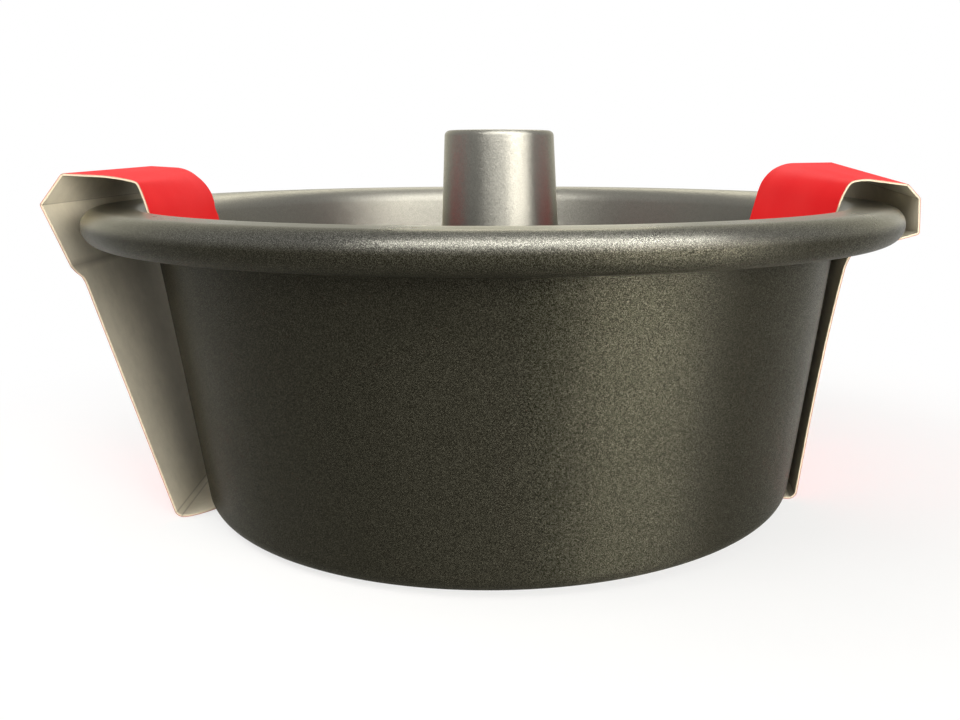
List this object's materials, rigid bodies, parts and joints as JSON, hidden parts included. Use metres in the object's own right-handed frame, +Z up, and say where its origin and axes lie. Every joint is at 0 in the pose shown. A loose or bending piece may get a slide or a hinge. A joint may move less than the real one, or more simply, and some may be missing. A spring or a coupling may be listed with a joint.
{
  "type": "angel food cake pan",
  "caption": "Tapered ring cake pan with a rolled rim, a lift-out base with a centre tube, and a folded card sleeve hooked over the rim.",
  "frame": {"origin": "on the pan's axis, in the plane that the sleeve's strap stands on", "axes": "+Z up along the pan's axis, +X along the sleeve towards its tight end"},
  "size_m": [0.278, 0.27, 0.1251],
  "materials": {
    "charcoal_nonstick": "satin charcoal nonstick coat with fine metallic flake",
    "pewter_nonstick": "satin pewter grey nonstick coat",
    "printed_board": "smooth red print outside, bare cream board inside and at the cut edges"
  },
  "bodies": {
    "pan": {"ring_foot": "charcoal_nonstick", "ring_wall": "charcoal_nonstick", "ring_rim": "charcoal_nonstick", "sleeve_base_strap": "printed_board", "sleeve_left_wall": "printed_board", "sleeve_left_lower_bevel": "printed_board", "sleeve_left_upper_bevel": "printed_board", "sleeve_right_wall": "printed_board", "sleeve_right_lower_bevel": "printed_board", "sleeve_right_side": "printed_board", "sleeve_right_upper_bevel": "printed_board"},
    "base": {"loose_base": "pewter_nonstick", "centre_tube": "pewter_nonstick"},
    "left_end": {"sleeve_left_top": "printed_board", "sleeve_left_flap": "printed_board"},
    "right_end": {"sleeve_right_top": "printed_board", "sleeve_right_flap": "printed_board"}
  },
  "joints": [
    {"name": "base_lift", "type": "slide", "parent": "pan", "child": "base", "axis": [0, 0, 1], "range_m": [0, 0.13]},
    {"name": "left_flap_fold", "type": "hinge", "parent": "pan", "child": "left_end", "pos_m": [-0.1326, 0, 0.1121], "axis": [0, -1, 0], "range_deg": [0, 110]},
    {"name": "right_flap_fold", "type": "hinge", "parent": "pan", "child": "right_end", "pos_m": [0.1331, 0, 0.1107], "axis": [0, 1, 0], "range_deg": [0, 110]}
  ]
}
